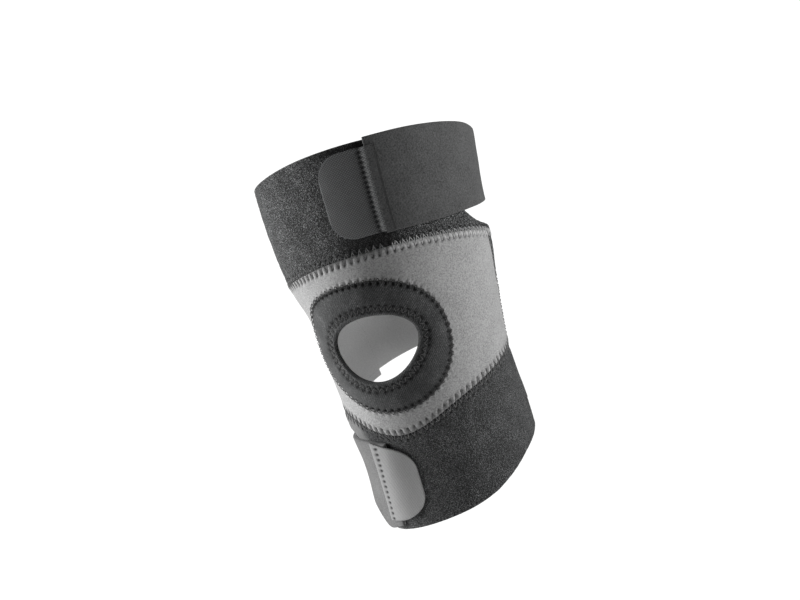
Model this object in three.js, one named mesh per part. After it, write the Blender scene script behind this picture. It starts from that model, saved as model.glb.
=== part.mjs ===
// An open-kneecap knee sleeve in the shape that it takes when worn: sewn neoprene panels round a slightly
// bent knee, a padded ring round the kneecap opening, and one wrap strap above and one below.
// Millimetres, +Z up the leg, front facing -Y. Angles are degrees round the leg from its front, towards +X.
import * as THREE from "three";

// The leg's hollow at the kneecap, and how far the sleeve reaches from there along the leg
const KNEE_WIDTH = 119;
const KNEE_DEPTH = 122;
const THIGH_LENGTH = 122;
const CALF_LENGTH = 119;

// The bend of the knee, made by an arc that reaches this far above and below the kneecap
const FLEXION_ANGLE = 16;
const BEND_REACH = 45;
const KNEECAP_RISE = 4;
const KNEECAP_REACH = 30;

// Walls, and the gaps between sewn edges and between layers that lie on each other
const PANEL_WALL = 3;
const STRAP_WALL = 2.6;
const TAB_WALL = 1.2;
const RING_RISE = 1.4;
const SEAM_GAP = 0.3;
const LAYER_GAP = 0.4;

// The kneecap opening, the padded ring round it, and the strip of front panel above and below the ring
const OPENING_WIDTH = 61;
const OPENING_HEIGHT = 43.5;
const OPENING_TAPER = 0.16;
const OPENING_ANGLE = 4;
const RING_LEFT_BAND = 29;
const RING_RIGHT_BAND = 20.5;
const RING_END_BAND = 22;
const PANEL_RISE = 17.5;
const PANEL_DROP = 18.5;

// Where the front panel meets the back panel, how far the side seams lean forward at their tops, and
// where each cuff stops short of a whole turn
const SIDE_SEAM_ANGLE = 118;
const SIDE_SEAM_LEAN_ANGLE = 18;
const THIGH_CUFF_FREE_ANGLE = 62;
const CALF_CUFF_FREE_ANGLE = 46;
const CUFF_SEWN_ANGLE = 150;
const FREE_END_LIP = 5;
const FREE_END_SWEEP = 5;

// Straps: the end under the hook tab, how far the other end is sewn over its cuff, and how far the
// hem's edge stands off at most. The calf strap's end leans by so many degrees over the whole calf
// length, about its middle as a share of that length
const THIGH_STRAP_ANGLE = 30;
const CALF_STRAP_ANGLE = 20;
const STRAP_OVERLAP_ANGLE = 15;
const CALF_STRAP_LEAN_ANGLE = 25;
const CALF_STRAP_MIDDLE_SHARE = 0.71;
const STRAP_FLARE = 3.2;

// Hook tabs: how far each reaches past its strap's end and back over it, and its step down to the cuff
const THIGH_TAB_REACH_ANGLE = 28;
const CALF_TAB_REACH_ANGLE = 21;
const THIGH_TAB_SEWN_ANGLE = 4.8;
const CALF_TAB_SEWN_ANGLE = 11;
const THIGH_TAB_STEP = 4;
const CALF_TAB_STEP = 19;
const TAB_CORNER = 16;

// Sections of the leg's hollow: at is a share of the thigh length (above) or the calf length (below),
// left and right are shares of the knee's width, front and back of its depth, all from the middle line
const SECTIONS = [
  { at: -1, left: 0.455, right: 0.43, front: 0.45, back: 0.52 },
  { at: -0.66, left: 0.445, right: 0.445, front: 0.46, back: 0.52 },
  { at: -0.33, left: 0.4625, right: 0.4575, front: 0.48, back: 0.5 },
  { at: 0, left: 0.48, right: 0.5, front: 0.5, back: 0.5 },
  { at: 0.18, left: 0.5, right: 0.52, front: 0.52, back: 0.515 },
  { at: 0.36, left: 0.575, right: 0.545, front: 0.545, back: 0.535 },
  { at: 0.66, left: 0.63, right: 0.54, front: 0.59, back: 0.57 },
  { at: 1, left: 0.65, right: 0.557, front: 0.63, back: 0.6 },
];

// Edges round the leg: hems are shares of the thigh and calf lengths, seams are shares of the front
// panel's height above and below the kneecap's centre
const EDGES = [
  { angle: -180, topHem: 0.92, topSeam: 0.87, lowSeam: 0.45, lowHem: 0.86 },
  { angle: -135, topHem: 0.9, topSeam: 0.85, lowSeam: 0.54, lowHem: 0.93 },
  { angle: -90, topHem: 0.9, topSeam: 0.87, lowSeam: 0.66, lowHem: 1 },
  { angle: -45, topHem: 0.935, topSeam: 0.915, lowSeam: 0.71, lowHem: 1.03 },
  { angle: 0, topHem: 0.99, topSeam: 1.015, lowSeam: 1, lowHem: 0.99 },
  { angle: 45, topHem: 1.005, topSeam: 1.055, lowSeam: 0.8, lowHem: 0.94 },
  { angle: 90, topHem: 0.99, topSeam: 1.015, lowSeam: 0.64, lowHem: 0.825 },
  { angle: 135, topHem: 0.96, topSeam: 0.93, lowSeam: 0.5, lowHem: 0.8 },
];

// The ring's outer outline: how far it reaches in each direction, as a share of an oval
const RING_OUTLINE = [
  { direction: 0, reach: 1 },
  { direction: 45, reach: 1.03 },
  { direction: 90, reach: 1.01 },
  { direction: 135, reach: 1.07 },
  { direction: 180, reach: 1 },
  { direction: 225, reach: 0.89 },
  { direction: 270, reach: 0.99 },
  { direction: 315, reach: 1.05 },
];

// Straps by angle from the fastened end: low and high are shares of the cuff's height there, from its
// seam to its hem. ride is 1 where the strap lies over a cuff and 0 where it lies on the leg, and flare
// is a share of how far the edge at the hem stands off
const THIGH_STRAP = [
  { turn: 0, low: 0.12, high: 1.02, ride: 1, flare: 0 },
  { turn: 0.15, low: 0.14, high: 1.04, ride: 1, flare: 0 },
  { turn: 0.3, low: 0.22, high: 1.04, ride: 1, flare: 0 },
  { turn: 0.45, low: 0.32, high: 1.01, ride: 0.7, flare: 0 },
  { turn: 0.65, low: 0.38, high: 1, ride: 0.1, flare: 0 },
  { turn: 0.85, low: 0.36, high: 0.98, ride: 0.9, flare: 0 },
  { turn: 1, low: 0.35, high: 0.97, ride: 1, flare: 0 },
];
const CALF_STRAP = [
  { turn: 0, low: 0.12, high: 0.955, ride: 1, flare: 0 },
  { turn: 0.12, low: 0.19, high: 0.965, ride: 1, flare: 0.3 },
  { turn: 0.19, low: 0.22, high: 0.8, ride: 1, flare: 1 },
  { turn: 0.3, low: 0.25, high: 0.75, ride: 0.6, flare: 0.5 },
  { turn: 0.6, low: 0.25, high: 0.77, ride: 0.1, flare: 0 },
  { turn: 0.85, low: 0.25, high: 0.8, ride: 0.9, flare: 0 },
  { turn: 1, low: 0.25, high: 0.8, ride: 1, flare: 0 },
];

// The hook tabs' edges, as shares of their cuff's height from its seam to its hem
const TAB_LOW_SHARE = 0.14;
const THIGH_TAB_HIGH_SHARE = 0.94;
const CALF_TAB_HIGH_SHARE = 0.885;

// How finely the solids are faceted
const COLUMN_STEP = 7;
const CUFF_ROWS = 6;
const BACK_ROWS = 6;
const STRAP_ROWS = 4;
const TAB_ROWS = 5;
const RING_ROWS = 4;
const FRONT_ROWS = 5;
const SIDE_ROWS = 6;
const CORNER_COLUMNS = 8;
const TAB_COLUMN_STEP = 2;

const TURN = 360;
const { clamp, degToRad, radToDeg, lerp, smoothstep } = THREE.MathUtils;

// A smooth curve through one column of a table, whose rows go up in key; a period makes it close on
// itself
function readTable(rows, key, column, value, period = 0) {
  const last = rows.length - 1;
  const start = rows[0][key];
  const place = period ? start + ((((value - start) % period) + period) % period) : value;
  let below = 0;
  while (below < last && rows[below + 1][key] <= place) below += 1;
  if (!period) below = Math.min(below, last - 1);
  const row = (i) => {
    if (!period) return rows[clamp(i, 0, last)];
    const wrapped = ((i % rows.length) + rows.length) % rows.length;
    return { ...rows[wrapped], [key]: rows[wrapped][key] + period * Math.floor(i / rows.length) };
  };
  const [before, from, to, after] = [below - 1, below, below + 1, below + 2].map(row);
  const span = to[key] - from[key];
  const share = clamp((place - from[key]) / span, 0, 1);
  const slopeIn = ((to[column] - before[column]) / (to[key] - before[key])) * span;
  const slopeOut = ((after[column] - from[column]) / (after[key] - from[key])) * span;
  const square = share * share;
  const cube = square * share;
  return (
    from[column] * (2 * cube - 3 * square + 1) +
    to[column] * (3 * square - 2 * cube) +
    slopeIn * (cube - 2 * square + share) +
    slopeOut * (cube - square)
  );
}

// The leg: its middle line, its hollow's outline and its skin

function spine(height) {
  const half = degToRad(FLEXION_ANGLE / 2);
  const radius = BEND_REACH / half;
  const bent = clamp(height, -BEND_REACH, BEND_REACH);
  const lean = bent / radius;
  const beyond = height - bent;
  return {
    lean,
    back: radius * (1 - Math.cos(lean)) + beyond * Math.sin(lean),
    up: radius * Math.sin(lean) + beyond * Math.cos(lean),
  };
}

function legPoint(angle, height) {
  const at = height > 0 ? height / THIGH_LENGTH : height / CALF_LENGTH;
  const read = (column) => readTable(SECTIONS, "at", column, at);
  const turn = degToRad(angle);
  const forward = Math.cos(turn);
  const sideways = Math.sin(turn);
  const depth = (forward > 0 ? read("front") : read("back")) * KNEE_DEPTH;
  const width = (sideways > 0 ? read("right") : read("left")) * KNEE_WIDTH;
  const near = Math.hypot((angle / TURN) * Math.PI * KNEE_WIDTH, height) / KNEECAP_REACH;
  const kneecap = KNEECAP_RISE * Math.exp(-near * near);
  const out = -forward * (depth + kneecap);
  const { lean, back, up } = spine(height);
  return new THREE.Vector3(sideways * width, back + out * Math.cos(lean), up - out * Math.sin(lean));
}

// A point this far out of the leg's skin
function skin(angle, height, depth) {
  const step = 0.5;
  const round = legPoint(angle + step, height).sub(legPoint(angle - step, height));
  const along = legPoint(angle, height + step).sub(legPoint(angle, height - step));
  return legPoint(angle, height).addScaledVector(round.cross(along).normalize(), depth);
}

// Edges of the panels; the stretch is how much longer the bent front's skin is than the middle line

const frontStretch = 1 + ((KNEE_DEPTH / 2 + PANEL_WALL) * degToRad(FLEXION_ANGLE / 2)) / BEND_REACH;
const panelRise = (OPENING_HEIGHT / 2 + RING_END_BAND + PANEL_RISE) / frontStretch;
const panelDrop = (OPENING_HEIGHT / 2 + RING_END_BAND + PANEL_DROP) / frontStretch;
const seamHalf = SEAM_GAP / 2;
const edge = (column, angle) => readTable(EDGES, "angle", column, angle, TURN);
const topHem = (angle) => edge("topHem", angle) * THIGH_LENGTH;
const topSeam = (angle) => edge("topSeam", angle) * panelRise;
const lowSeam = (angle) => -edge("lowSeam", angle) * panelDrop;
const lowHem = (angle) => -edge("lowHem", angle) * CALF_LENGTH;

// How far forward the side seams have leaned at a height
const sideLean = (height) => SIDE_SEAM_LEAN_ANGLE * clamp(height / panelRise, 0, 1);

// A cuff's free edge, as a share of its height: whole at the free end, a narrow lip at the side seam
function freeEdge(angle, freeEnd) {
  const share = clamp((angle - freeEnd) / (SIDE_SEAM_ANGLE - freeEnd), 0, 1);
  return (1 - share) ** FREE_END_SWEEP;
}

function thighCuffTop(angle) {
  const lip = topSeam(angle) + FREE_END_LIP;
  return lerp(lip, topHem(angle), freeEdge(angle, THIGH_CUFF_FREE_ANGLE));
}

function calfCuffLow(angle) {
  const lip = lowSeam(angle) - FREE_END_LIP;
  return lerp(lip, lowHem(angle), freeEdge(-angle, CALF_CUFF_FREE_ANGLE));
}

// Solids

// A closed solid through loops of points; it meets itself where closed, and has flat ends otherwise
function loft(loops, closed) {
  const count = loops[0].length;
  const index = [];
  const quad = (a, b, c, d) => index.push(a, b, c, a, c, d);
  const spans = closed ? loops.length : loops.length - 1;
  for (let i = 0; i < spans; i += 1) {
    const here = i * count;
    const next = ((i + 1) % loops.length) * count;
    for (let j = 0; j < count; j += 1) {
      const up = (j + 1) % count;
      quad(here + j, next + j, next + up, here + up);
    }
  }
  if (!closed) {
    const end = (loops.length - 1) * count;
    for (let j = 0; j < count / 2 - 1; j += 1) {
      const [far, farUp] = [count - 1 - j, count - 2 - j];
      quad(j, j + 1, farUp, far);
      quad(end + far, end + farUp, end + j + 1, end + j);
    }
  }
  const geometry = new THREE.BufferGeometry().setFromPoints(loops.flat());
  geometry.setIndex(index);
  geometry.computeVertexNormals();
  return geometry;
}

// One loop of a wall: its outer side through the places, and back along its inner side
function wallLoop(places) {
  const outside = places.map(({ angle, height, outer }) => skin(angle, height, outer));
  const inside = places.map(({ angle, height, inner }) => skin(angle, height, inner));
  return [...outside, ...inside.reverse()];
}

// Evenly spread shares from 0 to 1
const shares = (count) => Array.from({ length: count + 1 }, (_, i) => i / count);

// Evenly spread angles from one to another, about a step apart
function columns(from, to, step = COLUMN_STEP) {
  return shares(Math.ceil(Math.abs(to - from) / step)).map((share) => lerp(from, to, share));
}

const upright = () => 0;

// A wall whose low and high edges are functions of the angle, and whose inner and outer sides are
// functions of the angle and the share from low to high; lean is how far a column turns on at a height
function bandWall(angles, rows, low, high, inner, outer, lean = upright) {
  const loops = angles.map((angle) => {
    const places = shares(rows).map((share) => {
      const height = lerp(low(angle), high(angle), share);
      return {
        angle: angle + lean(angle, height),
        height,
        inner: inner(angle, share),
        outer: outer(angle, share),
      };
    });
    return wallLoop(places);
  });
  return loft(loops, false);
}

// Round the kneecap: width across the front as an angle, height along the front's skin as a height on
// the middle line, and an outline that narrows downwards
const acrossToAngle = (across) => radToDeg(across / (KNEE_WIDTH / 2 + PANEL_WALL));

function outlinePoint(across, rise) {
  return { angle: OPENING_ANGLE + acrossToAngle(across), height: rise / frontStretch };
}

function openingEdge(direction) {
  const rise = Math.sin(direction);
  const across = Math.cos(direction) * (1 + OPENING_TAPER * rise);
  return outlinePoint((across * OPENING_WIDTH) / 2, (rise * OPENING_HEIGHT) / 2);
}

function ringEdge(direction, gap) {
  const reach = readTable(RING_OUTLINE, "direction", "reach", radToDeg(direction), TURN);
  const across = reach * Math.cos(direction);
  const rise = reach * Math.sin(direction);
  const band = (across < 0 ? RING_LEFT_BAND : RING_RIGHT_BAND) + gap;
  const halfWidth = OPENING_WIDTH / 2 + band;
  const halfHeight = OPENING_HEIGHT / 2 + RING_END_BAND + gap;
  return outlinePoint(across * halfWidth, rise * halfHeight);
}

// The front panel's outer edge, clockwise from its upper left corner, with each place's direction
function frontBoundary() {
  const side = SIDE_SEAM_ANGLE - radToDeg((2 * SEAM_GAP) / KNEE_WIDTH);
  const topSide = side - SIDE_SEAM_LEAN_ANGLE;
  const top = columns(-topSide, topSide).map((angle) => ({ angle, height: topSeam(angle) - seamHalf }));
  const low = columns(side, -side).map((angle) => ({ angle, height: lowSeam(angle) + seamHalf }));
  const between = (from, to) =>
    shares(SIDE_ROWS)
      .slice(1, -1)
      .map((share) => lerp(from.height, to.height, share))
      .map((height) => ({ angle: Math.sign(from.angle) * (side - sideLean(height)), height }));
  const right = between(top.at(-1), low[0]);
  const left = between(low.at(-1), top[0]);
  const { angle: edgeAngle } = ringEdge(0, 0);
  const { height: edgeHeight } = ringEdge(Math.PI / 2, 0);
  return [...top, ...right, ...low, ...left].map((place) => ({
    ...place,
    direction: Math.atan2(place.height / edgeHeight, (place.angle - OPENING_ANGLE) / edgeAngle),
  }));
}

const frontSpokes = frontBoundary();

// A closed wall between an inner and an outer edge, both given for each spoke
function spokeWall(innerEdge, outerEdge, rows, depth) {
  const loops = frontSpokes.map((spoke) => {
    const from = innerEdge(spoke);
    const to = outerEdge(spoke);
    const places = shares(rows).map((share) => ({
      angle: lerp(from.angle, to.angle, share),
      height: lerp(from.height, to.height, share),
      inner: 0,
      outer: depth,
    }));
    return wallLoop(places);
  });
  return loft(loops, true);
}

// Sub-parts

const overCuff = PANEL_WALL + LAYER_GAP;
const overStrap = overCuff + STRAP_WALL + LAYER_GAP;
const onLeg = () => 0;
const panelOuter = () => PANEL_WALL;

function thighCuff() {
  const angles = columns(-CUFF_SEWN_ANGLE, SIDE_SEAM_ANGLE);
  const low = (angle) => topSeam(angle) + seamHalf;
  return bandWall(angles, CUFF_ROWS, low, thighCuffTop, onLeg, panelOuter);
}

function calfCuff() {
  const angles = columns(-SIDE_SEAM_ANGLE, CUFF_SEWN_ANGLE);
  const high = (angle) => lowSeam(angle) - seamHalf;
  return bandWall(angles, CUFF_ROWS, calfCuffLow, high, onLeg, panelOuter);
}

function frontPanel() {
  const inner = ({ direction }) => ringEdge(direction, seamHalf);
  return spokeWall(inner, (spoke) => spoke, FRONT_ROWS, PANEL_WALL);
}

function kneecapRing() {
  const outer = ({ direction }) => ringEdge(direction, -seamHalf);
  const inner = ({ direction }) => openingEdge(direction);
  return spokeWall(inner, outer, RING_ROWS, PANEL_WALL + RING_RISE);
}

function backPanel() {
  const angles = columns(SIDE_SEAM_ANGLE, TURN - SIDE_SEAM_ANGLE);
  const middle = TURN / 2;
  const lean = (angle, height) => (sideLean(height) * (angle - middle)) / (middle - SIDE_SEAM_ANGLE);
  const low = (angle) => lowSeam(angle) + seamHalf;
  const high = (angle) => topSeam(angle + lean(angle, panelRise)) - seamHalf;
  return bandWall(angles, BACK_ROWS, low, high, onLeg, panelOuter, lean);
}

// The calf strap's lean, whole at its fastened end and less to both sides of it
function calfLean(angle, height) {
  const share = height / CALF_LENGTH + CALF_STRAP_MIDDLE_SHARE;
  const away = Math.abs(angle + CALF_STRAP_ANGLE);
  return CALF_STRAP_LEAN_ANGLE * share * (1 - smoothstep(away, 0, 2 * CALF_STRAP_ANGLE));
}

// A strap from its fastened end, over its cuff's free end, round the back and over the cuff's sewn end
function strap(table, end, side, seam, hem, lean) {
  const sewn = side * (TURN - CUFF_SEWN_ANGLE + STRAP_OVERLAP_ANGLE);
  const turnOf = (angle) => (angle - side * end) / (sewn - side * end);
  const read = (column, angle) => readTable(table, "turn", column, turnOf(angle));
  const cuffHeight = (angle, share) => lerp(seam(angle), hem(angle), share);
  const low = (angle) => cuffHeight(angle, read("low", angle));
  const high = (angle) => cuffHeight(angle, read("high", angle));
  const hemUp = hem(0) > 0;
  const flare = (angle, share) => STRAP_FLARE * read("flare", angle) * (hemUp ? share : 1 - share) ** 2;
  const inner = (angle, share) => overCuff * read("ride", angle) + flare(angle, share);
  const outer = (angle, share) => inner(angle, share) + STRAP_WALL;
  const angles = columns(side * end, sewn);
  const [lowest, highest] = hemUp ? [low, high] : [high, low];
  const ordered = side > 0 ? angles : angles.reverse();
  return bandWall(ordered, STRAP_ROWS, lowest, highest, inner, outer, lean);
}

const thighTabSizes = {
  strapEnd: THIGH_STRAP_ANGLE,
  reach: THIGH_TAB_REACH_ANGLE,
  sewn: THIGH_TAB_SEWN_ANGLE,
  stepLength: THIGH_TAB_STEP,
  highShare: THIGH_TAB_HIGH_SHARE,
};
const calfTabSizes = {
  strapEnd: CALF_STRAP_ANGLE,
  reach: CALF_TAB_REACH_ANGLE,
  sewn: CALF_TAB_SEWN_ANGLE,
  stepLength: CALF_TAB_STEP,
  highShare: CALF_TAB_HIGH_SHARE,
};

// A hook tab: a round-cornered end on the cuff, a step over the strap's end, and a stretch sewn on the
// strap
function hookTab({ strapEnd, reach, sewn, stepLength, highShare }, side, seam, hem, lean) {
  const freeEnd = strapEnd - reach;
  const perDegree = degToRad(KNEE_WIDTH * readTable(SECTIONS, "at", "right", Math.sign(hem(0))));
  const cornerTurn = TAB_CORNER / perDegree;
  const cornerShares = shares(CORNER_COLUMNS).map((share) => 1 - Math.cos((share * Math.PI) / 2));
  const corner = cornerShares.map((share) => freeEnd + cornerTurn * share);
  const rest = columns(corner.at(-1), strapEnd, TAB_COLUMN_STEP).slice(1);
  const angles = [...corner, ...rest, strapEnd + sewn].map((angle) => side * angle);
  const inset = (angle) => {
    const along = clamp((side * angle - freeEnd) / cornerTurn, 0, 1);
    return TAB_CORNER * (1 - Math.sqrt(1 - (1 - along) ** 2));
  };
  const inward = Math.sign(hem(0));
  const low = (angle) => lerp(seam(angle), hem(angle), TAB_LOW_SHARE) + inward * inset(angle);
  const high = (angle) => lerp(seam(angle), hem(angle), highShare) - inward * inset(angle);
  const stepStart = strapEnd - stepLength / perDegree;
  const step = (angle) => smoothstep(side * angle, stepStart, strapEnd);
  const inner = (angle) => lerp(overCuff, overStrap, step(angle));
  const outer = (angle) => inner(angle) + TAB_WALL;
  const [lowest, highest] = inward > 0 ? [low, high] : [high, low];
  const ordered = side > 0 ? angles : angles.reverse();
  return bandWall(ordered, TAB_ROWS, lowest, highest, inner, outer, lean);
}

const thighStrap = () => strap(THIGH_STRAP, THIGH_STRAP_ANGLE, 1, topSeam, topHem, upright);
const calfStrap = () => strap(CALF_STRAP, CALF_STRAP_ANGLE, -1, lowSeam, lowHem, calfLean);
const thighTab = () => hookTab(thighTabSizes, 1, topSeam, topHem, upright);
const calfTab = () => hookTab(calfTabSizes, -1, lowSeam, lowHem, calfLean);

// Materials and the assembly

const cloth = (color, roughness) => new THREE.MeshStandardMaterial({ color, roughness, metalness: 0 });
const loopPile = cloth("#3f4243", 0.95);
const lightJersey = cloth("#9b9c9d", 0.85);
const darkJersey = cloth("#474849", 0.85);
const ringKnit = cloth("#3a3d3d", 0.9);
const darkWeave = cloth("#3d4141", 0.9);

const sleeve = new THREE.Group();

function add(name, geometry, material) {
  const mesh = new THREE.Mesh(geometry, material);
  mesh.name = name;
  sleeve.add(mesh);
}

add("thigh_cuff", thighCuff(), loopPile);
add("front_panel", frontPanel(), lightJersey);
add("kneecap_ring", kneecapRing(), ringKnit);
add("back_panel", backPanel(), loopPile);
add("calf_cuff", calfCuff(), loopPile);
add("thigh_strap", thighStrap(), darkJersey);
add("thigh_hook_tab", thighTab(), darkWeave);
add("calf_strap", calfStrap(), lightJersey);
add("calf_hook_tab", calfTab(), lightJersey);

export default sleeve;
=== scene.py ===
# The looks of the knee sleeve: sewn neoprene panels, a padded ring round the kneecap and two wrap straps.
# Metres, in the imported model's frame. Angles are degrees round the leg from its front towards +X, and
# heights run along its bent middle line from the kneecap's centre.
import functools
import math

import bpy
import numpy as np
from mathutils import Matrix, Vector


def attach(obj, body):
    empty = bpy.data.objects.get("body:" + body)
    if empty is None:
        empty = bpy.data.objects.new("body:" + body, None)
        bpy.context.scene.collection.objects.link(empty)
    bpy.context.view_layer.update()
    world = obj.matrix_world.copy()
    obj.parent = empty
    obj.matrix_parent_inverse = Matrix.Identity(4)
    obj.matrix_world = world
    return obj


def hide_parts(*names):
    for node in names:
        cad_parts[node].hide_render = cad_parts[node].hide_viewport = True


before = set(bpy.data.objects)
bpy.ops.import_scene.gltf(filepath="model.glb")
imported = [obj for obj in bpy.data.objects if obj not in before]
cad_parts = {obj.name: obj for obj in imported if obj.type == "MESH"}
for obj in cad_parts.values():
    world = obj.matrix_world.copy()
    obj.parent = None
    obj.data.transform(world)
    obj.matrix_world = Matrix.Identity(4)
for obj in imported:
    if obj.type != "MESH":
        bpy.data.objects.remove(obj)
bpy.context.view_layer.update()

MM = 0.001
TURN = 360.0


def table(columns, *rows):
    """A table's columns by their names."""
    return dict(zip(columns.split(), np.array(rows, float).T))


# The leg's hollow and its bend
KNEE_WIDTH = 119 * MM
KNEE_DEPTH = 122 * MM
THIGH_LENGTH = 122 * MM
CALF_LENGTH = 119 * MM
FLEXION = 16.0
BEND_REACH = 45 * MM
KNEECAP_RISE = 4 * MM
KNEECAP_REACH = 30 * MM

# Walls, the hair's breadth between sewn edges, and the gap between layers
PANEL_WALL = 3 * MM
STRAP_WALL = 2.6 * MM
TAB_WALL = 1.2 * MM
RING_CROWN = 1.7 * MM
RING_SINK = 0.2 * MM
SEAM_GAP = 0.04 * MM
LAYER_GAP = 0.4 * MM

# The kneecap opening, the ring and the strip of front panel above and below it
OPENING_WIDTH = 61 * MM
OPENING_HEIGHT = 43.5 * MM
OPENING_TAPER = 0.16
OPENING_TURN = 4.0
RING_LEFT_BAND = 29 * MM
RING_RIGHT_BAND = 20.5 * MM
RING_END_BAND = 22 * MM
PANEL_RISE = 17.5 * MM
PANEL_DROP = 18.5 * MM

# The side seams and the cuffs' ends
SIDE_SEAM = 118.0
SIDE_SEAM_LEAN = 18.0
THIGH_CUFF_FREE_END = 62.0
CALF_CUFF_FREE_END = 46.0
CUFF_SEWN_END = 150.0
FREE_END_LIP = 5 * MM
FREE_END_SWEEP = 5

# The straps and their hook tabs. A tab's reach and sewn are degrees from the strap's end, its low and high
# are shares of the way from the cuff's seam to its hem, and its needle holes have an inset, a pitch and a
# shade.
THIGH_STRAP_END = 30.0
CALF_STRAP_END = 20.0
STRAP_OVERLAP = 15.0
STRAP_FLARE = 3.2 * MM
CALF_STRAP_LEAN = 25.0
CALF_STRAP_MIDDLE = 0.71
THIGH_TAB = dict(
    strap_end=THIGH_STRAP_END, reach=28.0, sewn=4.8, step_length=4 * MM, high=0.94,
    holes=(8.6 * MM, 3.2 * MM, 0.75), edge_shade=0.97,
)
CALF_TAB = dict(
    strap_end=CALF_STRAP_END, reach=21.0, sewn=11.0, step_length=19 * MM, high=0.885,
    holes=(5 * MM, 4.1 * MM, 1), edge_shade=0,
)
TAB_STEP = 0.6
TAB_CORNER = 16 * MM
TAB_LOW = 0.14

# Sections of the hollow: at is a share of the thigh length above and the calf length below, left and right
# are shares of the knee's width, and front and back of its depth
SECTIONS = table(
    "at left right front back",
    (-1, 0.455, 0.43, 0.45, 0.52),
    (-0.66, 0.445, 0.445, 0.46, 0.52),
    (-0.33, 0.4625, 0.4575, 0.48, 0.5),
    (0, 0.48, 0.5, 0.5, 0.5),
    (0.18, 0.5, 0.52, 0.52, 0.515),
    (0.36, 0.575, 0.545, 0.545, 0.535),
    (0.66, 0.63, 0.54, 0.59, 0.57),
    (1, 0.65, 0.557, 0.63, 0.6),
)

# Edges round the leg: hems are shares of the thigh and calf lengths, seams of the panel's rise and drop
EDGES = table(
    "angle top_hem top_seam low_seam low_hem",
    (-180, 0.92, 0.87, 0.45, 0.86),
    (-135, 0.9, 0.85, 0.54, 0.93),
    (-90, 0.9, 0.87, 0.66, 1),
    (-45, 0.935, 0.915, 0.71, 1.03),
    (0, 0.99, 1.015, 1, 0.99),
    (45, 1.005, 1.055, 0.8, 0.94),
    (90, 0.99, 1.015, 0.64, 0.825),
    (135, 0.96, 0.93, 0.5, 0.8),
)

# The ring's outer outline: its reach in each direction, as a share of an oval
RING_OUTLINE = table(
    "direction reach",
    (0, 1),
    (45, 1.03),
    (90, 1.01),
    (135, 1.07),
    (180, 1),
    (225, 0.89),
    (270, 0.99),
    (315, 1.05),
)

# Straps from their fastened ends: low and high are shares of the way from the cuff's seam to its hem, ride
# is 1 over a cuff and 0 on the leg, and flare is a share of how far the edge at the hem stands off
THIGH_STRAP = table(
    "turn low high ride flare",
    (0, 0.12, 1.02, 1, 0),
    (0.15, 0.14, 1.04, 1, 0),
    (0.3, 0.22, 1.04, 1, 0),
    (0.45, 0.32, 1.01, 0.7, 0),
    (0.65, 0.38, 1, 0.1, 0),
    (0.85, 0.36, 0.98, 0.9, 0),
    (1, 0.35, 0.97, 1, 0),
)
CALF_STRAP = table(
    "turn low high ride flare",
    (0, 0.12, 0.955, 1, 0),
    (0.12, 0.19, 0.965, 1, 0.3),
    (0.19, 0.22, 0.8, 1, 1),
    (0.3, 0.25, 0.75, 0.6, 0.5),
    (0.6, 0.25, 0.77, 0.1, 0),
    (0.85, 0.25, 0.8, 0.9, 0),
    (1, 0.25, 0.8, 1, 0),
)

# The camera: how it looks at the kneecap's centre, and where that centre lies in the 800 by 600 frame
IMAGE_WIDTH = 800
IMAGE_HEIGHT = 600
CAMERA_TURN = 28.0
CAMERA_LIFT = 7.0
CAMERA_ROLL = 17.0
CAMERA_DISTANCE = 1.4
PIXELS_PER_METRE = 1492.5
CENTRE_PIXEL = (410.4, 327.0)
SENSOR_WIDTH = 36.0

# The lights: how far they are turned from the camera and lifted, their size and their power
LIGHT_DISTANCE = 1.3
LIGHTS = {"left_box": (-100, 15, 1.0, 30), "right_box": (84, 12, 1.0, 14.8), "low_box": (62, -32, 0.7, 4.5)}

# How finely the cloth is meshed: a zone is its length and how many rows it has
CLOTH_STEP = 1.1 * MM
BACK_STEP = 1.4 * MM
FRONT_STEP = 2 * MM
RING_STEP = 1 * MM
TAB_CLOTH_STEP = 0.8 * MM
FINEST_STEP = 0.12 * MM
SEAM_ZONE = (6.5 * MM, 9)
HEM_ZONE = (2.4 * MM, 5)
RING_ZONE = (5.5 * MM, 8)
OPENING_ZONE = (8 * MM, 16)
RIM_ZONE = (5 * MM, 8)
TAB_ZONE = (1.4 * MM, 5)

# Relief: rounded edges, the nap of the pile, and the rough band round the opening
EDGE_ROUND = 0.8 * MM
HEM_ROUND = 1.2 * MM
NAP = 0.16 * MM
NAP_GRAIN = 1.7 * MM
BAND_DIP = 0.7 * MM
BAND_ROUGHNESS = 0.3 * MM
BAND_PITS = 0.6 * MM

# The fold in the front panel: its middle, its reach up and down, and the angle and width of each part
FOLD_DEPTH = 0.5 * MM
FOLD_HEIGHT = 42 * MM
FOLD_REACH = 13 * MM
FOLD_CREST = (31, 11 * MM)
FOLD_VALLEY = (20, 12 * MM)
FOLD_SHADE = (19, 14 * MM)

# Where shade, light and swell come and go: degrees round the leg, or shares of the way from seam to hem
TAB_SHADE_COMES = (-3, 10)
TAB_SHADE_GOES = (30, 50)
BELOW_TAB = (0.15, 0.22)
ABOVE_TAB = (0.92, 0.95)
SEAM_LIGHT_COMES = (12, 34)
LIP_LIGHT_GOES = (-40, -27)
LIP_SWELLS = (-38, -55)
LIP_ENDS = (0.14, 0.19)
LIP_BULGE = 1.3 * MM

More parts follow.
